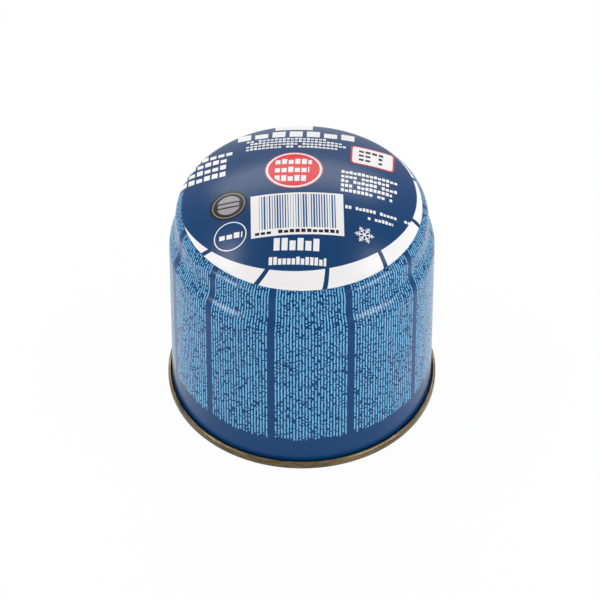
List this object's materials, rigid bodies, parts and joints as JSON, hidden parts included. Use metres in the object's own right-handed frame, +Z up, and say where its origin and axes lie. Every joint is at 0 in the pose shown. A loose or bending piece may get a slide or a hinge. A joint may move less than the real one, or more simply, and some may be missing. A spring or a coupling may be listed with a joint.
{
  "type": "gas cartridge",
  "caption": "Squat sealed gas cartridge: a drawn tinplate can with a domed top, a short neck, a flared shoulder and a recessed bottom held in a double seam.",
  "frame": {"origin": "centre of the circle that the can stands on, at the flat land under its seam", "axes": "+Z up along the can's axis, from the seam to the domed top; the print faces -Y"},
  "size_m": [0.092, 0.092, 0.089],
  "materials": {
    "printed_tinplate": "gloss lacquer over fields of print: dark blue, with a white band, and pale, red and dark shapes",
    "bare_tinplate": "clear gold lacquer on bare tinplate, at the seam and the recessed end"
  },
  "bodies": {
    "root": {"gas_cartridge": "printed_tinplate"}
  },
  "joints": []
}
